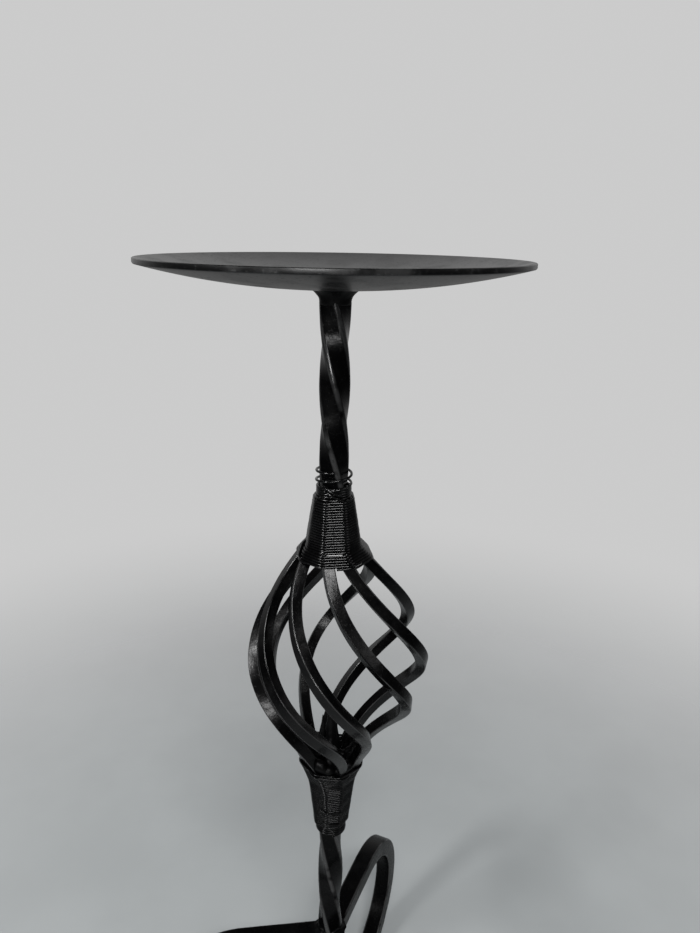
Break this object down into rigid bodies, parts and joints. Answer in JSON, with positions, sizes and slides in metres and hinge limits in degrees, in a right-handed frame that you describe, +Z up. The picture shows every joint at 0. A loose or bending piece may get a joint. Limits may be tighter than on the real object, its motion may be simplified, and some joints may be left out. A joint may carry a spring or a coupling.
{
  "type": "candle stand",
  "caption": "Black wrought iron pillar candle stand: a shallow round pan on a twisted stem with a cage of twisted bars, wire bindings and scroll feet.",
  "frame": {"origin": "the point on the floor under the stem's axis, midway among the feet", "axes": "+Z up along the stem, +X to the right and +Y away from the viewer in the picture"},
  "size_m": [0.169, 0.167, 0.4375],
  "materials": {
    "black_iron": "satin black paint on hammered iron, worn a little brighter along the edges",
    "binding_wire": "satin black paint over soft wire, pooled between the turns",
    "weld": "black paint over rough weld metal"
  },
  "bodies": {
    "root": {"candle_pan": "black_iron", "pan_weld": "weld", "upper_stem": "black_iron", "upper_binding": "binding_wire", "upper_core": "weld", "cage_bar_1": "black_iron", "cage_bar_2": "black_iron", "cage_bar_3": "black_iron", "cage_bar_4": "black_iron", "cage_bar_5": "black_iron", "cage_bar_6": "black_iron", "cage_bar_7": "black_iron", "cage_bar_8": "black_iron", "lower_core": "weld", "lower_binding": "binding_wire", "lower_stem": "black_iron", "foot_weld": "weld", "foot_1": "black_iron", "foot_2": "black_iron", "foot_3": "black_iron"}
  },
  "joints": []
}
